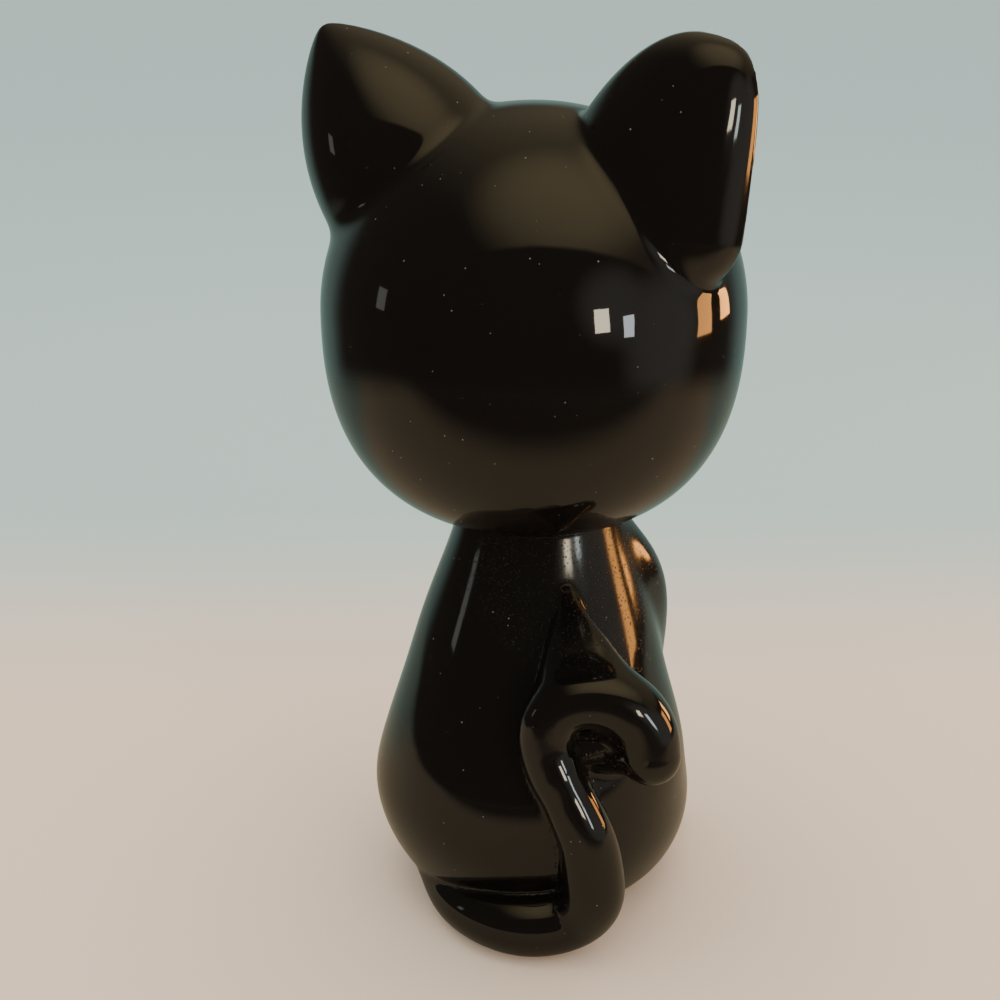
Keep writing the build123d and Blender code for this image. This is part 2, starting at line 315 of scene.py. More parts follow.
# Along the table round the back, up the haunch and over into the hook
TAIL = Roll([
    (15, 16, 5.6, 4.0),
    (6.0, 24.6, 5.6, 5.0),
    (-2, 27.4, 6.0, 6.0),
    (-10.5, 26.6, 6.3, 6.7),
    (-18.0, 23.6, 8.3, 6.7),
    (-22.2, 24.6, 14.5, 6.5),
    (-22.8, 26.0, 21.0, 6.2),
    (-21.9, 26.8, 28.2, 5.8),
    (-19.3, 27.1, 34.7, 5.4),
    (-15.9, 26.9, 40.9, 5.1),
    (-13.3, 26.5, 46.9, 5.0),
    (-13.4, 26.0, 52.2, 5.0),
    (-16.6, 24.6, 56.2, 5.1),
    (-22.0, 22.4, 57.2, 5.3),
    (-27.6, 20.2, 54.8, 5.6),
    (-31.0, 19.4, 50.0, 5.8),
    (-31.9, 19.6, 45.6, 5.8),
])
WEB_TOP = np.array([-11.5, 11.5, 72.5])
# Clay that fills the inside of the hook to a shallow hollow: (middle, radii)
HOOK_FILL = ((-23.0, 17.2, 49.5), (11.0, 7.0, 10.5))
WEB_REGION = np.array([(-42, 0, 36), (-2, 40, 82)])
WEB_FAR = 14.0              # distance given to everything outside that region
WEB_RUN = (0.66, 0.90)      # part of the tail that the web hangs from, as shares of its length
WEB_TOP_RADIUS = 1.2


def web_form(points):
    """Tent of clay that runs from the top of the hook up into the back."""
    near = np.all((points > WEB_REGION[0]) & (points < WEB_REGION[1]), axis=1)
    gaps = np.full(len(points), WEB_FAR)
    if near.any():
        part = points[near]
        best = np.full(len(part), np.inf)
        for foot in TAIL.line(np.linspace(*WEB_RUN, 40) * TAIL.length):
            lean = WEB_TOP - foot[:3]
            share = np.clip(((part - foot[:3]) @ lean) / (lean @ lean), 0, 1)
            radius = (foot[3] - 0.6) * (1 - share) + WEB_TOP_RADIUS * share
            gap = np.linalg.norm(part - (foot[:3] + share[:, None] * lean), axis=1) - radius
            best = np.minimum(best, gap)
        gaps[near] = blend_min(best, ellipsoid(part, *HOOK_FILL), 5.0)
    return gaps


FORELEG_LINE = [
    (9.5, -8.5, 80, 6.0),
    (13.0, -12.0, 72.5, 7.8),
    (14.8, -15.0, 65.5, 8.8),
    (15.0, -18.0, 57, 8.8),
    (14.0, -22.5, 46, 8.0),
    (12.4, -27.0, 34, 7.2),
    (11.0, -29.8, 20, 6.8),
    (10.2, -30.5, 8, 6.8),
    (10.0, -30.5, 5.6, 6.0),
]
FORELEGS = {
    side: Roll([(sign * x, y, z, radius) for x, y, z, radius in FORELEG_LINE])
    for side, sign in SIDES.items()
}


# (middle, radii), for the left side
FOREPAW = ((9.6, -32.6, 5.4), (7.4, 8.8, 6.2))
HAUNCH = ((17.0, -9.5, 17.0), (13.6, 19.0, 17.0))
HIND_PAW = ((19.6, -26.5, 6.0), (7.2, 11.5, 6.6))
TOE_SPACING = 2.6


def on_side(form, side):
    """A left form's middle and radii, on the side asked for."""
    (x, y, z), radii = form
    return (SIDES[side] * x, y, z), radii


def press_toes(points, paw, front, height):
    """Two short grooves pressed into the front of a paw, between its three toes."""
    for sign in (-1, 1):
        middle = (front[0] + sign * TOE_SPACING, front[1], height / 2)
        groove = ellipsoid(points, middle, (0.6, 4.0, height))
        paw = blend_max(paw, -groove, 1.6)
    return paw


def foreleg_form(points, side):
    """Straight foreleg from the shoulder to a round paw."""
    middle, radii = on_side(FOREPAW, side)
    leg = blend_min(FORELEGS[side](points), ellipsoid(points, middle, radii), 3.0)
    leg = press_toes(points, leg, (middle[0], middle[1] - radii[1]), 5.0)
    return blend_max(leg, -points[:, 2], 1.5)


def hind_leg_form(points, side):
    """Round haunch with a hind paw in front of it."""
    haunch = ellipsoid(points, *on_side(HAUNCH, side))
    middle, radii = on_side(HIND_PAW, side)
    leg = blend_min(haunch, ellipsoid(points, middle, radii), 4.0)
    leg = press_toes(points, leg, (middle[0], middle[1] - radii[1]), 5.4)
    return blend_max(leg, -points[:, 2], 1.5)


def all_forms(points, sizes):
    """Distance to every form, by the name of the piece that it becomes."""
    return {
        "head": head_form(points, sizes),
        "left_ear": ear_form(points, "left"),
        "right_ear": ear_form(points, "right"),
        "torso": torso_form(points),
        "tail": TAIL(points),
        "tail_web": web_form(points),
        "left_foreleg": foreleg_form(points, "left"),
        "right_foreleg": foreleg_form(points, "right"),
        "left_hind_leg": hind_leg_form(points, "left"),
        "right_hind_leg": hind_leg_form(points, "right"),
    }


# How wide the slip's fillet is at each luted joint
HAUNCH_FILLET, FORELEG_FILLET, WEB_FILLET, TAIL_FILLET = 7.0, 4.0, 4.5, 2.2
EAR_FILLET, NECK_FILLET = 3.0, 2.0


def clay_skin(points, sizes):
    """The whole cat as one body, with its luted joints smoothed over."""
    form = all_forms(points, sizes)
    haunches = blend_min(form["left_hind_leg"], form["right_hind_leg"], 1.0)
    forelegs = blend_min(form["left_foreleg"], form["right_foreleg"], 2.0)
    ears = blend_min(form["left_ear"], form["right_ear"], 0.5)
    body = blend_min(form["torso"], haunches, HAUNCH_FILLET)
    body = blend_min(body, forelegs, FORELEG_FILLET)
    body = blend_min(body, blend_min(form["tail"], form["tail_web"], WEB_FILLET), TAIL_FILLET)
    body = blend_min(body, blend_min(form["head"], ears, EAR_FILLET), NECK_FILLET)
    return blend_max(body, -points[:, 2], 1.0)


def skin_normals(points, sizes):
    """Unit normals of the skin at each point."""
    step = 0.04
    slopes = [
        clay_skin(points + axis * step, sizes) - clay_skin(points - axis * step, sizes)
        for axis in np.eye(3)
    ]
    slopes = np.stack(slopes, axis=1)
    return slopes / np.maximum(np.linalg.norm(slopes, axis=1)[:, None], 1e-9)


def press_to_skin(points, sizes, rounds):
    """Moves points along the skin's slope until they lie on it."""
    step = 0.02
    for _ in range(rounds):
        gap = clay_skin(points, sizes)
        slope = [(clay_skin(points + axis * step, sizes) - gap) / step for axis in np.eye(3)]
        slope = np.stack(slope, axis=1)
        square = np.maximum((slope**2).sum(1), 0.05)
        points = points - slope * (np.clip(gap, -1.2, 1.2) / square)[:, None]
    return points


# ---- Settings that a user would change ------------------------------------------------
def length_setting(name, description, millimetres):
    """Length property, given in millimetres and kept in metres."""
    return bpy.props.FloatProperty(
        name=name, description=description, default=millimetres * MM, min=0, unit="LENGTH", precision=4
    )


class FigurineSizes(bpy.types.PropertyGroup):
    """Sizes of the cat's head, and how fine its skin is"""

    head_radius: length_setting("Head radius", "Half the head's width", 40.7)
    head_z: length_setting("Head height", "Height of the head's widest level", 125.0)
    head_rise: length_setting("Crown", "From the widest level up to the crown", 39.2)
    head_drop: length_setting("Chin", "From the widest level down to the chin", 41.8)
    head_shift: length_setting("Head shift", "Sideways, towards the cat's left", 0.3)
    voxel: length_setting("Mesh size", "Spacing of the skin's vertices", 0.8)
    head_fullness: bpy.props.FloatProperty(
        name="Cheek fullness", description="2 is a plain ellipse, more is squarer", default=2.5,
        min=2, max=4,
    )


def colour_setting(name, description, code):
    """Colour property whose default is an sRGB hex code."""
    return bpy.props.FloatVectorProperty(
        name=name, description=description, default=hex_to_linear(code),
        size=4, subtype="COLOR", min=0, max=1,
    )


class FigurineColours(bpy.types.PropertyGroup):
    """Colours of the glaze, the clay, the enamels and the stage"""

    glaze: colour_setting("Glaze", "Black glaze where it lies thick", "#0d0b0a")
    thin_glaze: colour_setting("Thin glaze", "Where glaze runs thin over an edge", "#2a1a12")
    dust: colour_setting("Dust", "Settled dust", "#8d867b")
    clay: colour_setting("Clay", "Unglazed foot", "#c39a7b")
    clay_shadow: colour_setting("Dark clay", "Blotches on the unglazed foot", "#8e6348")
    iris: colour_setting("Iris", "Middle of the iris", "#b9b24a")
    iris_edge: colour_setting("Iris edge", "Edge of the iris", "#4c6a2a")
    nose: colour_setting("Nose", "Nose enamel", "#6b3b34")
    floor: colour_setting("Floor", "Floor near the cat", "#f0dac4")
    far_floor: colour_setting("Far floor", "Floor behind the cat", "#b4cfcd")


# ---- Materials -------------------------------------------------------------------------
def add_node(tree, kind, settings=None, inputs=None, links=None):
    """Adds a node, sets its properties and inputs, and links sockets into it."""
    node = tree.nodes.new(kind)
    for key, value in (settings or {}).items():
        setattr(node, key, value)
    for key, value in (inputs or {}).items():
        node.inputs[key].default_value = value
    for key, socket in (links or {}).items():
        tree.links.new(socket, node.inputs[key])
    return node


def new_material(name):
    """Empty node material with an output, and its tree."""
    material = bpy.data.materials.new(name)
    material.use_nodes = True
    material.node_tree.nodes.clear()
    return material, material.node_tree


def spots(tree, place, spacing, radius, share):
    """Mask of round spots at random places: spacing and radius in millimetres, share of them kept."""
    cells = add_node(
        tree,
        "ShaderNodeTexVoronoi",
        {"feature": "F1"},
        inputs={"Scale": 1 / (spacing * MM), "Randomness": 1.0},
        links={"Vector": place},
    )
    pick = add_node(tree, "ShaderNodeSeparateColor", links={"Color": cells.outputs["Color"]})
    kept = add_node(
        tree,
        "ShaderNodeMapRange",
        inputs={"From Min": 1 - share, "From Max": 1.0, "To Min": 0.0, "To Max": radius / spacing},
        links={"Value": pick.outputs["Red"]},
    )
    inside = add_node(
        tree,
        "ShaderNodeMath",
        {"operation": "SUBTRACT"},
        links={0: kept.outputs["Result"], 1: cells.outputs["Distance"]},
    )
    return add_node(
        tree,
        "ShaderNodeMapRange",
        inputs={"From Min": 0.0, "From Max": 0.35 * radius / spacing},
        links={"Value": inside.outputs["Value"]},
    ).outputs["Result"]


def near_mask(tree, place, centre, inner, outer):
    """Mask that is full within inner of a point and fades out at outer, in millimetres."""
    offset = add_node(
        tree,
        "ShaderNodeVectorMath",
        {"operation": "DISTANCE"},
        inputs={1: [c * MM for c in centre]},
        links={0: place},
    )
    return add_node(
        tree,
        "ShaderNodeMapRange",
        {"interpolation_type": "SMOOTHSTEP"},
        inputs={"From Min": outer * MM, "From Max": inner * MM},
        links={"Value": offset.outputs["Value"]},
    ).outputs["Result"]


def black_glaze_material():
    """Black iron glaze, dipped and gloss fired: it mirrors the room, and shows its pinholes and dust."""
    colours = bpy.context.scene.figurine_colours
    material, tree = new_material("black_gloss_glaze")
    place = add_node(tree, "ShaderNodeTexCoord").outputs["Object"]
    bend = add_node(tree, "ShaderNodeAttribute", {"attribute_name": "bend"}).outputs["Fac"]

    # Over a ridge the glaze runs thin and browner; in a crease it pools and boils.
    ridge = add_node(
        tree, "ShaderNodeMapRange", inputs={"From Min": 0.12, "From Max": 0.45}, links={"Value": bend}
    ).outputs["Result"]
    crease = add_node(
        tree, "ShaderNodeMapRange", inputs={"From Min": -0.10, "From Max": -0.45}, links={"Value": bend}
    ).outputs["Result"]
    cloud = add_node(
        tree,
        "ShaderNodeTexNoise",
        inputs={"Scale": 1 / (18 * MM), "Detail": 4.0, "Roughness": 0.55},
        links={"Vector": place},
    ).outputs["Fac"]

    shoulders = near_mask(tree, place, (-13, 6, 75), 12, 27)
    boil = near_mask(tree, place, (-24, 22, 47), 3, 9)
    seam = add_node(tree, "ShaderNodeMath", {"operation": "MAXIMUM"}, links={0: crease, 1: boil}).outputs[0]

    dust = spots(tree, place, 1.7, 0.20, 0.35)
    holes = spots(tree, place, 4.0, 0.34, 0.25)
    # Pits at the shoulders are under half a millimetre apart, boiled bubbles in the creases about one.
    for spacing, radius, share, where in ((0.48, 0.21, 0.85, shoulders), (0.9, 0.42, 0.8, seam)):
        pits = spots(tree, place, spacing, radius, share)
        pits = add_node(tree, "ShaderNodeMath", {"operation": "MULTIPLY"}, links={0: pits, 1: where})
        holes = add_node(
            tree, "ShaderNodeMath", {"operation": "MAXIMUM"}, links={0: holes, 1: pits.outputs[0]}
        ).outputs[0]

    thin = add_node(
        tree, "ShaderNodeMath", {"operation": "MULTIPLY"}, links={0: ridge, 1: cloud}
    ).outputs[0]
    body = add_node(
        tree,
        "ShaderNodeMix",
        {"data_type": "RGBA"},
        inputs={6: colours.glaze, 7: colours.thin_glaze},
        links={0: thin},
    ).outputs[2]
    speck = add_node(
        tree, "ShaderNodeMath", {"operation": "MULTIPLY"}, inputs={1: 0.55}, links={0: dust}
    ).outputs[0]
    dusty = add_node(
        tree,
        "ShaderNodeMix",
        {"data_type": "RGBA"},
        inputs={7: colours.dust},
        links={0: speck, 6: body},
    ).outputs[2]

    # Fired gloss is nearly a mirror; handling leaves a faint film, and holes break it up.
    rough = add_node(
        tree,
        "ShaderNodeMapRange",
        inputs={"From Min": 0.35, "From Max": 0.8, "To Min": 0.03, "To Max": 0.11},
        links={"Value": cloud},
    ).outputs["Result"]
    for mask, more in ((holes, 0.25), (shoulders, 0.08), (dust, 0.4)):
        rough = add_node(
            tree,
            "ShaderNodeMath",
            {"operation": "MULTIPLY_ADD"},
            inputs={1: more},
            links={0: mask, 2: rough},
        ).outputs[0]

    peel = add_node(
        tree,
        "ShaderNodeTexNoise",
        inputs={"Scale": 1 / (5 * MM), "Detail": 1.0},
        links={"Vector": place},
    ).outputs["Fac"]
    peel_bump = add_node(
        tree, "ShaderNodeBump", inputs={"Strength": 0.6, "Distance": 0.00003}, links={"Height": peel}
    )
    hole_bump = add_node(
        tree,
        "ShaderNodeBump",
        {"invert": True},
        inputs={"Strength": 0.8, "Distance": 0.00012},
        links={"Height": holes, "Normal": peel_bump.outputs["Normal"]},
    )
    bsdf = add_node(
        tree,
        "ShaderNodeBsdfPrincipled",
        inputs={"IOR": 1.54},
        links={"Base Color": dusty, "Roughness": rough, "Normal": hole_bump.outputs["Normal"]},
    )
    add_node(tree, "ShaderNodeOutputMaterial", links={"Surface": bsdf.outputs["BSDF"]})
    return material


def bare_clay_material():
    """Fired buff clay, wiped bare: matt and a little gritty, with iron specks."""
    colours = bpy.context.scene.figurine_colours
    material, tree = new_material("bare_fired_clay")
    place = add_node(tree, "ShaderNodeTexCoord").outputs["Object"]
    grain = add_node(
        tree,
        "ShaderNodeTexNoise",
        inputs={"Scale": 1 / (0.6 * MM), "Detail": 6.0, "Roughness": 0.7},
        links={"Vector": place},
    ).outputs["Fac"]
    blotch = add_node(
        tree, "ShaderNodeTexNoise", inputs={"Scale": 1 / (9 * MM), "Detail": 3.0}, links={"Vector": place}
    ).outputs["Fac"]
    base = add_node(
        tree,
        "ShaderNodeMix",
        {"data_type": "RGBA"},
        inputs={6: colours.clay, 7: colours.clay_shadow},
        links={0: blotch},
    ).outputs[2]
    specks = spots(tree, place, 1.6, 0.30, 0.3)
    speckled = add_node(
        tree,
        "ShaderNodeMix",
        {"data_type": "RGBA"},
        inputs={7: colours.thin_glaze},
        links={0: specks, 6: base},
    ).outputs[2]
    bump = add_node(
        tree, "ShaderNodeBump", inputs={"Strength": 0.7, "Distance": 0.0001}, links={"Height": grain}
    )
    bsdf = add_node(
        tree,
        "ShaderNodeBsdfPrincipled",
        inputs={"Roughness": 0.85, "IOR": 1.5},
        links={"Base Color": speckled, "Normal": bump.outputs["Normal"]},
    )
    add_node(tree, "ShaderNodeOutputMaterial", links={"Surface": bsdf.outputs["BSDF"]})
    return material


def eye_enamel_material():
    """Overglaze enamel painted on and fired: a slit pupil in a green iris, glassy all over."""
    colours = bpy.context.scene.figurine_colours
    material, tree = new_material("eye_overglaze_enamel")
    place = add_node(tree, "ShaderNodeAttribute", {"attribute_name": "face"}).outputs["Vector"]
    parts = add_node(tree, "ShaderNodeSeparateXYZ", links={"Vector": place})
    # The pupil is a tall oval, drawn about a fifth as wide as the eye.
    squeezed = add_node(
        tree,
        "ShaderNodeVectorMath",
        {"operation": "MULTIPLY"},
        inputs={1: (3.6, 1.25, 0)},
        links={0: place},
    )
    pupil = add_node(
        tree, "ShaderNodeVectorMath", {"operation": "LENGTH"}, links={0: squeezed.outputs["Vector"]}
    ).outputs["Value"]
    outward = add_node(
        tree, "ShaderNodeVectorMath", {"operation": "LENGTH"}, links={0: place}
    ).outputs["Value"]
    pupil_mask = add_node(
        tree, "ShaderNodeMapRange", inputs={"From Min": 1.0, "From Max": 0.92}, links={"Value": pupil}
    ).outputs["Result"]
    rim_mask = add_node(
        tree, "ShaderNodeMapRange", inputs={"From Min": 0.84, "From Max": 0.90}, links={"Value": outward}
    ).outputs["Result"]
    streak = add_node(
        tree,
        "ShaderNodeTexNoise",
        inputs={"Scale": 6.0, "Detail": 5.0, "Distortion": 0.6},
        links={"Vector": place},
    ).outputs["Fac"]
    streak = add_node(
        tree, "ShaderNodeMath", {"operation": "ADD"}, inputs={1: 0.45}, links={0: streak}
    ).outputs[0]
    spread = add_node(
        tree, "ShaderNodeMath", {"operation": "MULTIPLY"}, links={0: outward, 1: streak}
    ).outputs[0]
    glow = add_node(
        tree, "ShaderNodeMapRange", inputs={"From Min": 0.2, "From Max": 0.9}, links={"Value": spread}
    ).outputs["Result"]
    iris = add_node(
        tree,
        "ShaderNodeMix",
        {"data_type": "RGBA"},
        inputs={6: colours.iris, 7: colours.iris_edge},
        links={0: glow},
    ).outputs[2]
    dark = add_node(
        tree, "ShaderNodeMath", {"operation": "MAXIMUM"}, links={0: pupil_mask, 1: rim_mask}
    ).outputs[0]
    painted = add_node(
        tree,
        "ShaderNodeMix",
        {"data_type": "RGBA"},
        inputs={7: colours.glaze},
        links={0: dark, 6: iris},
    ).outputs[2]
    bsdf = add_node(
        tree,
        "ShaderNodeBsdfPrincipled",
        inputs={"Roughness": 0.06, "IOR": 1.52},
        links={"Base Color": painted},
    )
    add_node(tree, "ShaderNodeOutputMaterial", links={"Surface": bsdf.outputs["BSDF"]})
    return material


def nose_enamel_material():
    """Brown-pink enamel over the glaze: softer gloss, slightly uneven brushwork."""
    colours = bpy.context.scene.figurine_colours
    material, tree = new_material("nose_overglaze_enamel")
    place = add_node(tree, "ShaderNodeTexCoord").outputs["Object"]
    brush = add_node(
        tree, "ShaderNodeTexNoise", inputs={"Scale": 1 / (1.5 * MM), "Detail": 4.0}, links={"Vector": place}
    ).outputs["Fac"]
    colour = add_node(
        tree,
        "ShaderNodeMix",
        {"data_type": "RGBA"},
        inputs={6: colours.nose, 7: colours.thin_glaze},
        links={0: brush},
    ).outputs[2]
    bump = add_node(
        tree, "ShaderNodeBump", inputs={"Strength": 0.4, "Distance": 0.00005}, links={"Height": brush}
    )
    bsdf = add_node(
        tree,
        "ShaderNodeBsdfPrincipled",
        inputs={"Roughness": 0.16, "IOR": 1.52},
        links={"Base Color": colour, "Normal": bump.outputs["Normal"]},
    )
    add_node(tree, "ShaderNodeOutputMaterial", links={"Surface": bsdf.outputs["BSDF"]})
    return material


# ---- Meshes ----------------------------------------------------------------------------
FOOT_WIPE = 0.5     # the glaze is wiped off this far up, so that it doesn't stick to the kiln shelf
PIECE_NAMES = [
    "head", "left_ear", "right_ear", "torso", "tail", "tail_web",
    "left_foreleg", "right_foreleg", "left_hind_leg", "right_hind_leg",
]


def rough_ball(name, centre, radii):
    """Ball of clay at its place, as the start of a form."""
    deselect_all()
    bpy.ops.mesh.primitive_uv_sphere_add(
        segments=64, ring_count=32, radius=MM, location=[c * MM for c in centre]
    )
    bpy.ops.transform.resize(value=radii)
    bpy.ops.object.transform_apply(location=True, rotation=True, scale=True)
    return named(name)


def rough_roll(name, roll, steps=60):
    """Roll of clay along its line, as a bevelled curve turned to a mesh."""
    curve = bpy.data.curves.new(name, "CURVE")
    curve.dimensions = "3D"
    curve.bevel_depth = MM
    curve.bevel_resolution = 6
    curve.use_fill_caps = True
    path = curve.splines.new("POLY")
    path.points.add(steps - 1)
    for point, (x, y, z, radius) in zip(path.points, roll.line(np.linspace(0, roll.length, steps))):
        point.co = (x * MM, y * MM, z * MM, 1)
        point.radius = radius
    obj = bpy.data.objects.new(name, curve)
    bpy.context.scene.collection.objects.link(obj)
    activate(obj)
    bpy.ops.object.convert(target="MESH")
    return bpy.context.active_object


def skin_bend(mesh, sizes):
    """How sharply the skin bends at each vertex, per millimetre: ridges positive, creases negative."""
    points = points_of(mesh)
    normals = np.empty(len(points) * 3)
    mesh.attributes["skin_normal"].data.foreach_get("vector", normals)
    normals = normals.reshape(-1, 3)
    ends = np.empty(len(mesh.edges) * 2, int)
    mesh.edges.foreach_get("vertices", ends)
    first, second = ends.reshape(-1, 2).T
    runs = points[second] - points[first]
    turn = ((normals[second] - normals[first]) * runs).sum(1) / np.maximum((runs**2).sum(1), 1e-6)
    bend = np.zeros(len(points))
    count = np.zeros(len(points))
    for end in (first, second):
        np.add.at(bend, end, turn)
        np.add.at(count, end, 1)
    bend /= np.maximum(count, 1)
    for _ in range(3):
        spread = np.zeros(len(points))
        np.add.at(spread, first, bend[second])
        np.add.at(spread, second, bend[first])
        bend = (bend + spread / np.maximum(count, 1)) / 2
    return bend


def press_to_form(obj, centre, field):
    """Presses a ball's vertices along their rays from its centre onto a form."""
    points = points_of(obj.data)
    rays = points - centre
    rays /= np.linalg.norm(rays, axis=1)[:, None]
    low, high = np.zeros(len(rays)), np.full(len(rays), 70.0)
    for _ in range(24):
        middle = (low + high) / 2
        inside = field(centre + rays * middle[:, None]) < 0
        low = np.where(inside, middle, low)
        high = np.where(inside, high, middle)
    set_points(obj.data, centre + rays * low[:, None])


class FIGURINE_OT_clay(bpy.types.Operator):
    """Models every clay form, joins them and smooths the luted joints into one skin"""

    bl_idname = "figurine.clay"
    bl_label = "Join the clay forms"

    def execute(self, context):
        sizes = context.scene.figurine_sizes
        # A place well inside each form, to press a ball of clay out from
        hearts = {
            "head": (0, 0, sizes.head_z / MM),
            "left_ear": (24, 4, 150),
            "right_ear": (-25, 5, 150),
            "torso": (0, -2, 30),
            "tail_web": (-19, 20, 58),
            "left_hind_leg": (18, -12, 12),
            "right_hind_leg": (-18, -12, 12),
        }
        parts = []
        for name, heart in hearts.items():
            ball = rough_ball(f"rough_{name}", heart, (8, 8, 8))
            press_to_form(
                ball, np.array(heart, float), lambda points, key=name: all_forms(points, sizes)[key]
            )
            parts.append(ball)
        parts.append(rough_roll("rough_tail", TAIL))
        tip = TAIL.samples[-1]
        parts.append(rough_ball("rough_tail_tip", tip[:3], [tip[3]] * 3))
        for side in SIDES:
            parts.append(rough_roll(f"rough_{side}_foreleg", FORELEGS[side]))
            parts.append(rough_ball(f"rough_{side}_paw", (SIDES[side] * 10.0, -32.6, 6.0), (7, 8, 5.5)))
        deselect_all()
        for part in parts:
            part.select_set(True)
        context.view_layer.objects.active = parts[0]
        bpy.ops.object.join()
        skin = named("clay_skin")
        skin.data.remesh_voxel_size = sizes.voxel
        skin.data.use_remesh_preserve_volume = False
        bpy.ops.object.voxel_remesh()
        # Press, relax and press again, so that the mesh is even and lies on the skin.
        set_points(skin.data, press_to_skin(points_of(skin.data), sizes, 4))
        bpy.ops.object.mode_set(mode="EDIT")
        bpy.ops.mesh.select_all(action="SELECT")
        bpy.ops.mesh.vertices_smooth(factor=0.5, repeat=4)
        bpy.ops.object.mode_set(mode="OBJECT")
        points = press_to_skin(points_of(skin.data), sizes, 3)
        set_points(skin.data, points)
        normals = skin.data.attributes.new("skin_normal", "FLOAT_VECTOR", "POINT")
        normals.data.foreach_set("vector", skin_normals(points, sizes).ravel())
        bend = skin.data.attributes.new("bend", "FLOAT", "POINT")
        bend.data.foreach_set("value", skin_bend(skin.data, sizes))
        middles = np.empty(len(skin.data.polygons) * 3)
        skin.data.polygons.foreach_get("center", middles)
        forms = all_forms(middles.reshape(-1, 3) / MM, sizes)
        nearest = np.array([forms[key] for key in PIECE_NAMES]).argmin(0)
        owner = skin.data.attributes.new("owner", "INT", "FACE")
        owner.data.foreach_set("value", nearest)
        return {"FINISHED"}


RIM_TUCK = 1.5      # how deep a piece's rim turns in at a joint


def close_piece(obj):
    """Turns the open rim of a piece inwards and closes it, out of sight inside the joint."""
    mesh = bmesh.new()
    mesh.from_mesh(obj.data)
    mesh.normal_update()
    rim = [edge for edge in mesh.edges if edge.is_boundary]
    if rim:
        made = bmesh.ops.extrude_edge_only(mesh, edges=rim)
        fresh = [item for item in made["geom"] if isinstance(item, bmesh.types.BMVert)]
        inward = {}
        for vert in fresh:
            partner = [e.other_vert(vert) for e in vert.link_edges if e.other_vert(vert) not in fresh]
            normal = partner[0].normal if partner else vert.normal
            inward[vert] = normal.copy()
        for vert, normal in inward.items():
            vert.co -= normal * RIM_TUCK * MM
        rim = [edge for edge in mesh.edges if edge.is_boundary]
        bmesh.ops.triangle_fill(mesh, edges=rim, use_beauty=True, use_dissolve=False)
    mesh.to_mesh(obj.data)
    mesh.free()


def cut_pieces(names, context):
    """Cuts the named pieces out of the shared skin."""
    skin = bpy.data.objects["clay_skin"]
    for name in names:
        owner = np.empty(len(skin.data.polygons), int)
        skin.data.attributes["owner"].data.foreach_get("value", owner)
        wanted = owner == PIECE_NAMES.index(name)
        activate(skin)
        piece = skin
        if not wanted.all():
            bpy.ops.object.mode_set(mode="EDIT")
            bpy.ops.mesh.select_mode(type="FACE")
            bpy.ops.mesh.select_all(action="DESELECT")
            bpy.ops.object.mode_set(mode="OBJECT")
            skin.data.polygons.foreach_set("select", wanted)
            bpy.ops.object.mode_set(mode="EDIT")
            bpy.ops.mesh.separate(type="SELECTED")
            bpy.ops.object.mode_set(mode="OBJECT")
            piece = next(obj for obj in context.selected_objects if obj != skin)
        piece.name = f"glazed_{name}"
        piece.data.name = piece.name
        finish_piece(piece, name)


def finish_piece(piece, name):
    """Closes a cut piece, gives it the skin's normals and its glaze, and sets its place."""
    skin_faces, skin_points = len(piece.data.polygons), len(piece.data.vertices)
    close_piece(piece)
    mesh = piece.data
    mesh.polygons.foreach_set("use_smooth", np.ones(len(mesh.polygons), bool))
    corner_vertex = np.empty(len(mesh.loops), int)
    mesh.loops.foreach_get("vertex_index", corner_vertex)
    starts = np.empty(len(mesh.polygons), int)
    mesh.polygons.foreach_get("loop_start", starts)
    corner_face = np.zeros(len(mesh.loops), int)
    corner_face[starts[1:]] = 1
    corner_face = np.cumsum(corner_face)
    flat = np.empty(len(mesh.polygons) * 3)
    mesh.polygons.foreach_get("normal", flat)
    loops = flat.reshape(-1, 3)[corner_face]
    flat = np.empty(len(mesh.vertices) * 3)
    mesh.attributes["skin_normal"].data.foreach_get("vector", flat)
    on_skin = (corner_face < skin_faces) & (corner_vertex < skin_points)
    loops[on_skin] = flat.reshape(-1, 3)[corner_vertex[on_skin]]
    mesh.normals_split_custom_set(loops.tolist())
    mesh.attributes.remove(mesh.attributes["skin_normal"])
    mesh.attributes.remove(mesh.attributes["owner"])
    mesh.materials.clear()
    mesh.materials.append(bpy.data.materials["black_gloss_glaze"])
    mesh.materials.append(bpy.data.materials["bare_fired_clay"])
    heights = np.empty(len(mesh.polygons) * 3)
    mesh.polygons.foreach_get("center", heights)
    wiped = heights.reshape(-1, 3)[:, 2] < FOOT_WIPE * MM
    mesh.polygons.foreach_set("material_index", wiped.astype(int))
    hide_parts(name)
    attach(piece, "root")


class FIGURINE_OT_glaze(bpy.types.Operator):
    """Makes the glaze that covers all the clay"""

    bl_idname = "figurine.glaze"
    bl_label = "Mix the glaze"

    def execute(self, context):
        black_glaze_material()
        bare_clay_material()
        eye_enamel_material()
        nose_enamel_material()
        base = bpy.data.objects["base_plate"]
        base.data.materials.clear()
        base.data.materials.append(bpy.data.materials["bare_fired_clay"])
        return {"FINISHED"}


class FIGURINE_OT_pieces(bpy.types.Operator):
    """Cuts the skin into the pieces that were luted together"""

    bl_idname = "figurine.pieces"
    bl_label = "Cut the pieces"

    def execute(self, context):
        cut_pieces(PIECE_NAMES, context)
        return {"FINISHED"}


def on_skin_along(start, direction, sizes):
    """Point on the skin straight out from a start inside it."""
    reaches = np.linspace(0, 30, 601)
    line = start + reaches[:, None] * direction
    gaps = clay_skin(line, sizes)
    return line[np.argmax(gaps > 0)]


EYE_RADII, NOSE_RADII = (7.4, 8.2, 2.2), (3.2, 2.2, 1.8)


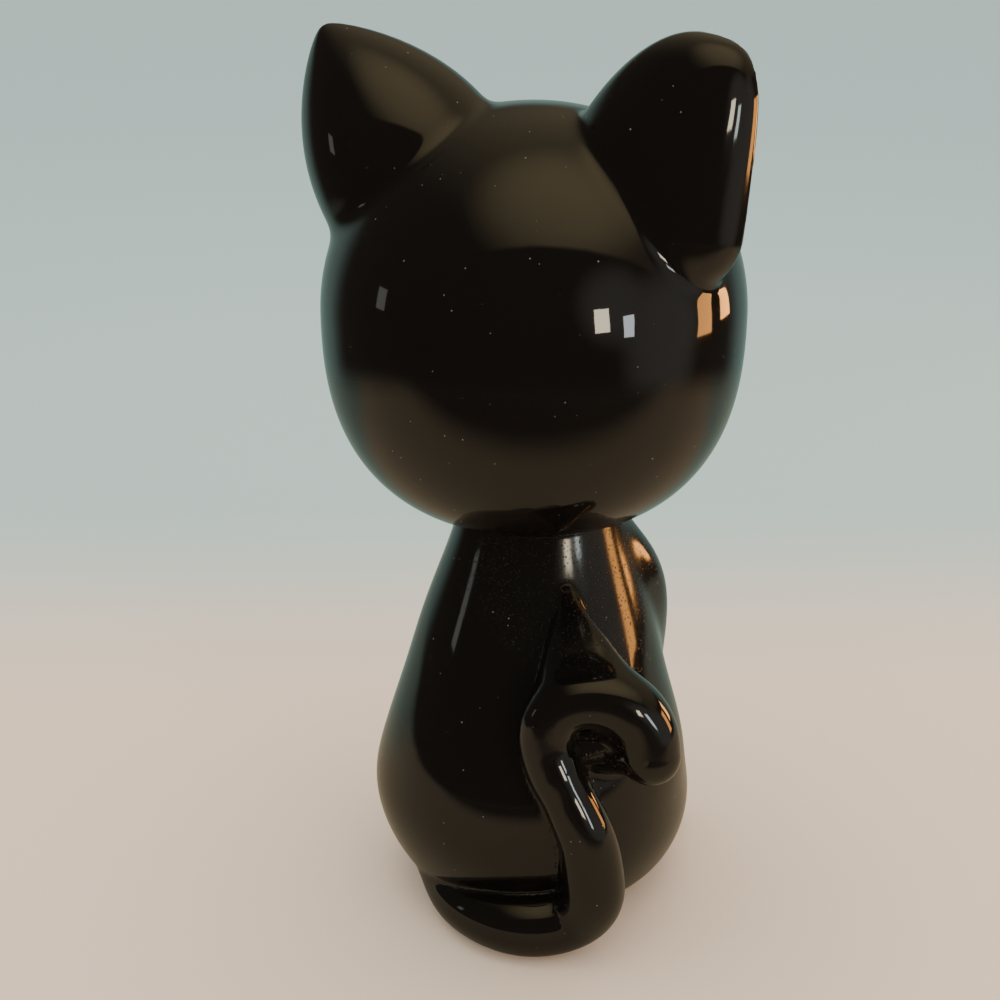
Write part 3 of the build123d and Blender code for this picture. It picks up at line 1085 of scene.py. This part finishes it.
def enamel_button(name, centre, outward, radii, material):
    """Raised drop of enamel at a place on the face, with its own flat coordinates in "face"."""
    deselect_all()
    bpy.ops.mesh.primitive_uv_sphere_add(segments=64, ring_count=32, radius=MM)
    drop = named(name)
    points = points_of(drop.data)
    # A drop of enamel has a full rounded shoulder and a flatter top.
    swell = np.abs(points[:, 2]) ** 0.8 * np.sign(points[:, 2])
    turn = np.array(Vector(outward).to_track_quat("Z", "Y").to_matrix())
    shaped = np.column_stack([points[:, 0] * radii[0], points[:, 1] * radii[1], swell * radii[2]])
    set_points(drop.data, shaped @ turn.T + np.array(centre))
    face = drop.data.attributes.new("face", "FLOAT_VECTOR", "POINT")
    face.data.foreach_set("vector", (points * np.array([1, 1, 0])).ravel())
    drop.data.polygons.foreach_set("use_smooth", np.ones(len(drop.data.polygons), bool))
    drop.data.materials.append(bpy.data.materials[material])
    return drop


class FIGURINE_OT_face(bpy.types.Operator):
    """Adds the enamelled eyes and nose"""

    bl_idname = "figurine.face"
    bl_label = "Paint the face"

    def execute(self, context):
        for side, sign in SIDES.items():
            low, high = (np.array(corner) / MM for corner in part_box(f"{side}_eye"))
            middle = (low + high) / 2
            outward = np.array([middle[0], middle[1], 0]) / np.hypot(middle[0], middle[1])
            outward = outward + np.array([0, 0, -0.12])
            outward /= np.linalg.norm(outward)
            centre = on_skin_along(middle, outward, context.scene.figurine_sizes) - outward * 1.0
            eye = enamel_button(
                f"{side}_painted_eye", centre, outward, EYE_RADII, "eye_overglaze_enamel"
            )
            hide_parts(f"{side}_eye")
            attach(eye, "root")
        outward = np.array([0, -0.97, 0.1])
        start = np.array([0, -30.0, 108.5])
        centre = on_skin_along(start, outward, context.scene.figurine_sizes) - outward * 0.6
        nose = enamel_button("painted_nose", centre, outward, NOSE_RADII, "nose_overglaze_enamel")
        # The nose narrows downwards to the lip.
        points = points_of(nose.data)
        below = np.clip((centre[2] - points[:, 2]) / NOSE_RADII[1], -1, 1)
        points[:, 0] *= 1 - 0.38 * below
        set_points(nose.data, points)
        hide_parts("nose")
        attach(nose, "root")
        return {"FINISHED"}


# The camera stands behind the cat and to its left; azimuths are turned from it to its left hand.
CAMERA_TURN, CAMERA_PITCH = math.radians(22.0), math.radians(20.0)
CAMERA_BACK, CAMERA_SIDE, CAMERA_HEIGHT = 0.265, 0.0066, 0.183
CAMERA_LENS, CAMERA_SENSOR = 50.4, 36.0
# (name, azimuth, elevation, distance m, width m, height m, colour, power W)
LAMPS = [
    ("soft_overhead", 180, 84, 1.1, 0.9, 0.9, "#ffe9cf", 5.0),
    ("window_right", -32, 7, 0.9, 0.12, 0.18, "#fff0d2", 1.1),
    ("window_right_low", -46, 3, 0.9, 0.09, 0.16, "#e8f4f4", 0.5),
    ("window_left", 86, 7, 0.9, 0.09, 0.13, "#eef0ea", 0.04),
    ("warm_lamp", -95, 0, 0.7, 0.14, 0.18, "#ffad5d", 0.8),
    ("warm_lamp_far", -114, 1, 0.7, 0.12, 0.14, "#ffad5d", 0.9),
]
FLOOR_RADIUS = 40.0
EVEN_LIGHT, EVEN_STRENGTH = "#eceae6", 1.45
WALL_RISE, LOWEST_WALL = 1.035, 0.28    # slope up to the top of the front wall, and of the others
# What a polished surface sees of the room, and the floor's painted shade: darker copies of its tones that
# only reflections show
DIM_ROOM = (0.062, 0.056, 0.045, 1)
LIT_CEILING = (1.35, 1.07, 0.58, 1)
GREY_WALL = (0.40, 0.38, 0.33, 1)
TEAL_BEHIND = (0.26, 0.38, 0.34, 1)
SHADE_PAINTED_FLOOR_IN_MIRROR = (0.36, 0.30, 0.20, 1)
SHADE_PAINTED_FAR_FLOOR_IN_MIRROR = (0.18, 0.26, 0.23, 1)
DEEP_SHADE_PAINTED_NEAR_FLOOR_IN_MIRROR = (0.01, 0.008, 0.006, 1)


def view_direction(azimuth, elevation):
    """Direction at an azimuth from the camera's side and an elevation, both in degrees."""
    turn = math.radians(azimuth)
    rise = math.radians(elevation)
    flat = Vector((math.sin(turn), math.cos(turn), 0)) * math.cos(rise)
    flat.rotate(Matrix.Rotation(CAMERA_TURN, 3, "Z"))
    return flat + Vector((0, 0, math.sin(rise)))


def add_lamp(name, azimuth, elevation, distance, width, height, colour, power):
    """Soft rectangular lamp that faces the cat's head."""
    light = bpy.data.lights.new(name, "AREA")
    light.shape = "RECTANGLE"
    light.size, light.size_y = width, height
    light.color = hex_to_linear(colour)[:3]
    light.energy = power
    lamp = bpy.data.objects.new(name, light)
    bpy.context.scene.collection.objects.link(lamp)
    direction = view_direction(azimuth, elevation)
    lamp.location = direction * distance + Vector((0, 0, 0.1))
    lamp.rotation_euler = direction.to_track_quat("Z", "Y").to_euler()
    # The overhead lamp only fills: the glaze mirrors the ceiling it lights, not the lamp.
    lamp.visible_glossy = elevation < 45


def make_floor():
    """Pale floor, warm near the cat and cooler far off; a polished surface sees only the near part, in
    painted shade tones that are darker, darkest on the camera's side.
    """
    colours = bpy.context.scene.figurine_colours
    deselect_all()
    bpy.ops.mesh.primitive_circle_add(vertices=96, radius=FLOOR_RADIUS, fill_type="NGON")
    floor = named("stage_floor")
    material, tree = new_material("plain_floor")
    place = add_node(tree, "ShaderNodeTexCoord").outputs["Object"]
    depth = add_node(
        tree,
        "ShaderNodeVectorMath",
        {"operation": "DOT_PRODUCT"},
        inputs={1: view_direction(0, 0)},
        links={0: place},
    ).outputs["Value"]
    distance = add_node(
        tree, "ShaderNodeVectorMath", {"operation": "LENGTH"}, links={0: place}
    ).outputs["Value"]
    glossy = add_node(tree, "ShaderNodeLightPath").outputs["Is Glossy Ray"]

    # Each layer: (look, depth where it starts, depth where it is full, how much, tone that it brings)
    # The layers that reflections see are painted shade: the floor is mirrored darker than the camera sees
    # it, and darkest on the camera's side.
    layers = [
        ("seen", -0.06, -0.24, 1.0, colours.far_floor),
        ("shaded_in_mirror", -0.03, -0.12, 1.0, SHADE_PAINTED_FAR_FLOOR_IN_MIRROR),
        ("shaded_in_mirror", 0.10, 0.21, 0.9, DEEP_SHADE_PAINTED_NEAR_FLOOR_IN_MIRROR),
    ]
    first_tones = {"seen": colours.floor, "shaded_in_mirror": SHADE_PAINTED_FLOOR_IN_MIRROR}
    tones = {}
    for look, start, full, most, tone in layers:
        share = add_node(
            tree,
            "ShaderNodeMapRange",
            {"interpolation_type": "SMOOTHSTEP"},
            inputs={"From Min": start, "From Max": full, "To Max": most},
            links={"Value": depth},
        ).outputs["Result"]
        mix = add_node(
            tree, "ShaderNodeMix", {"data_type": "RGBA"}, {6: first_tones[look], 7: tone}, {0: share}
        )
        if look in tones:
            tree.links.new(tones[look], mix.inputs[6])
        tones[look] = mix.outputs[2]
    base = add_node(
        tree,
        "ShaderNodeMix",
        {"data_type": "RGBA"},
        links={0: glossy, 6: tones["seen"], 7: tones["shaded_in_mirror"]},
    ).outputs[2]
    bsdf = add_node(
        tree, "ShaderNodeBsdfPrincipled", inputs={"Roughness": 0.95}, links={"Base Color": base}
    )
    clear = add_node(tree, "ShaderNodeBsdfTransparent")
    far = add_node(
        tree,
        "ShaderNodeMapRange",
        {"interpolation_type": "SMOOTHSTEP"},
        inputs={"From Min": 0.28, "From Max": 0.45},
        links={"Value": distance},
    ).outputs["Result"]
    edge = add_node(tree, "ShaderNodeMath", {"operation": "MULTIPLY"}, links={0: glossy, 1: far}).outputs[0]
    mixed = add_node(
        tree, "ShaderNodeMixShader", links={0: edge, 1: bsdf.outputs["BSDF"], 2: clear.outputs["BSDF"]}
    )
    add_node(tree, "ShaderNodeOutputMaterial", links={"Surface": mixed.outputs[0]})
    floor.data.materials.append(material)


def make_room(context):
    """Even pale light on all sides; a polished surface sees a dim room with a lit ceiling."""
    world = bpy.data.worlds.new("soft_studio")
    context.scene.world = world
    world.use_nodes = True
    tree = world.node_tree
    tree.nodes.clear()
    even = add_node(
        tree,
        "ShaderNodeBackground",
        inputs={"Color": hex_to_linear(EVEN_LIGHT), "Strength": EVEN_STRENGTH},
    )
    direction = add_node(tree, "ShaderNodeTexCoord").outputs["Generated"]
    height = add_node(tree, "ShaderNodeSeparateXYZ", links={"Vector": direction}).outputs["Z"]

    # How near a direction is to a place in the room: (azimuth, elevation, cosines that start and fill it)
    places = {
        "front": (0, 0, 0.0, 1.0),
        "behind": (180, 0, 0.45, 0.75),
        "side_wall": (-68, -3, 0.86, 0.98),
        "lamp_wall": (-40, 12, 0.91, 1.0),
        "ceiling": (-120, 60, 0.35, 1.0),
        "lamp_ceiling": (-25, 68, 0.72, 1.0),
    }
    near = {}
    for name, (azimuth, elevation, start, full) in places.items():
        cosine = add_node(
            tree,
            "ShaderNodeVectorMath",
            {"operation": "DOT_PRODUCT"},
            inputs={1: view_direction(azimuth, elevation)},
            links={0: direction},
        ).outputs["Value"]
        near[name] = add_node(
            tree,
            "ShaderNodeMapRange",
            {"interpolation_type": "LINEAR" if name == "front" else "SMOOTHSTEP"},
            inputs={"From Min": start, "From Max": full},
            links={"Value": cosine},
        ).outputs["Result"]

    # The ceiling starts above the top of the wall: higher in front, where the wall is nearer.
    wall_top = add_node(
        tree, "ShaderNodeMath", {"operation": "MULTIPLY"}, inputs={1: WALL_RISE}, links={0: near["front"]}
    ).outputs[0]
    wall_top = add_node(
        tree, "ShaderNodeMath", {"operation": "MAXIMUM"}, inputs={1: LOWEST_WALL}, links={0: wall_top}
    ).outputs[0]
    above = add_node(
        tree, "ShaderNodeMath", {"operation": "SUBTRACT"}, links={0: height, 1: wall_top}
    ).outputs[0]
    above = add_node(
        tree,
        "ShaderNodeMapRange",
        {"interpolation_type": "SMOOTHSTEP"},
        inputs={"From Min": -0.03, "From Max": 0.05},
        links={"Value": above},
    ).outputs["Result"]
    light = add_node(
        tree, "ShaderNodeMath", {"operation": "MULTIPLY"}, inputs={1: 0.30}, links={0: near["ceiling"]}
    ).outputs[0]
    light = add_node(
        tree,
        "ShaderNodeMath",
        {"operation": "MULTIPLY_ADD", "use_clamp": True},
        inputs={1: 0.62},
        links={0: near["lamp_ceiling"], 2: light},
    ).outputs[0]
    lit = add_node(tree, "ShaderNodeMath", {"operation": "MULTIPLY"}, links={0: light, 1: above}).outputs[0]
    low = add_node(
        tree,
        "ShaderNodeMapRange",
        {"interpolation_type": "SMOOTHSTEP"},
        inputs={"From Min": 0.42, "From Max": 0.22},
        links={"Value": height},
    ).outputs["Result"]
    behind = add_node(
        tree, "ShaderNodeMath", {"operation": "MULTIPLY"}, links={0: near["behind"], 1: low}
    ).outputs[0]

    tone = None
    for share, colour in (
        (near["side_wall"], GREY_WALL),
        (near["lamp_wall"], GREY_WALL),
        (lit, LIT_CEILING),
        (behind, TEAL_BEHIND),
    ):
        mix = add_node(tree, "ShaderNodeMix", {"data_type": "RGBA"}, {6: DIM_ROOM, 7: colour}, {0: share})
        if tone:
            tree.links.new(tone, mix.inputs[6])
        tone = mix.outputs[2]
    room = add_node(tree, "ShaderNodeBackground", links={"Color": tone})
    glossy = add_node(tree, "ShaderNodeLightPath").outputs["Is Glossy Ray"]
    mixed = add_node(
        tree, "ShaderNodeMixShader", links={0: glossy, 1: even.outputs[0], 2: room.outputs[0]}
    )
    add_node(tree, "ShaderNodeOutputWorld", links={"Surface": mixed.outputs[0]})


class FIGURINE_OT_stage(bpy.types.Operator):
    """Sets the floor, the soft studio light and the camera"""

    bl_idname = "figurine.stage"
    bl_label = "Set the stage"

    def execute(self, context):
        make_floor()
        make_room(context)
        for name, azimuth, elevation, distance, width, height, colour, power in LAMPS:
            add_lamp(name, azimuth, elevation, distance, width, height, colour, power)

        camera_data = bpy.data.cameras.new("camera")
        camera_data.sensor_width = CAMERA_SENSOR
        camera_data.lens = CAMERA_LENS
        camera_data.clip_start = 0.01
        camera = bpy.data.objects.new("camera", camera_data)
        context.scene.collection.objects.link(camera)
        context.scene.camera = camera
        camera.location = (
            CAMERA_SIDE * math.cos(CAMERA_TURN) - CAMERA_BACK * math.sin(CAMERA_TURN),
            CAMERA_SIDE * math.sin(CAMERA_TURN) + CAMERA_BACK * math.cos(CAMERA_TURN),
            CAMERA_HEIGHT,
        )
        camera.rotation_euler = (math.radians(90) - CAMERA_PITCH, 0, math.radians(180) + CAMERA_TURN)
        return {"FINISHED"}


class FIGURINE_PT_panel(bpy.types.Panel):
    """Lists the steps and the settings in the sidebar"""

    bl_idname = "FIGURINE_PT_panel"
    bl_label = "Glazed cat figurine"
    bl_space_type = "VIEW_3D"
    bl_region_type = "UI"
    bl_category = "Figurine"

    def draw(self, context):
        for step in STEPS:
            self.layout.operator(step.bl_idname)


STEPS = [
    FIGURINE_OT_stage,
    FIGURINE_OT_glaze,
    FIGURINE_OT_clay,
    FIGURINE_OT_pieces,
    FIGURINE_OT_face,
]
CLASSES = [FigurineSizes, FigurineColours, *STEPS, FIGURINE_PT_panel]


def register():
    """Registers the classes and hangs the settings on the scene."""
    for cls in CLASSES:
        bpy.utils.register_class(cls)
    bpy.types.Scene.figurine_sizes = bpy.props.PointerProperty(type=FigurineSizes)
    bpy.types.Scene.figurine_colours = bpy.props.PointerProperty(type=FigurineColours)


def unregister():
    """Takes the settings and the classes away again."""
    del bpy.types.Scene.figurine_colours
    del bpy.types.Scene.figurine_sizes
    for cls in reversed(CLASSES):
        bpy.utils.unregister_class(cls)


def main():
    """Runs every step in order."""
    register()
    for step in STEPS:
        group, name = step.bl_idname.split(".")
        getattr(getattr(bpy.ops, group), name)()


if __name__ == "__main__":
    main()
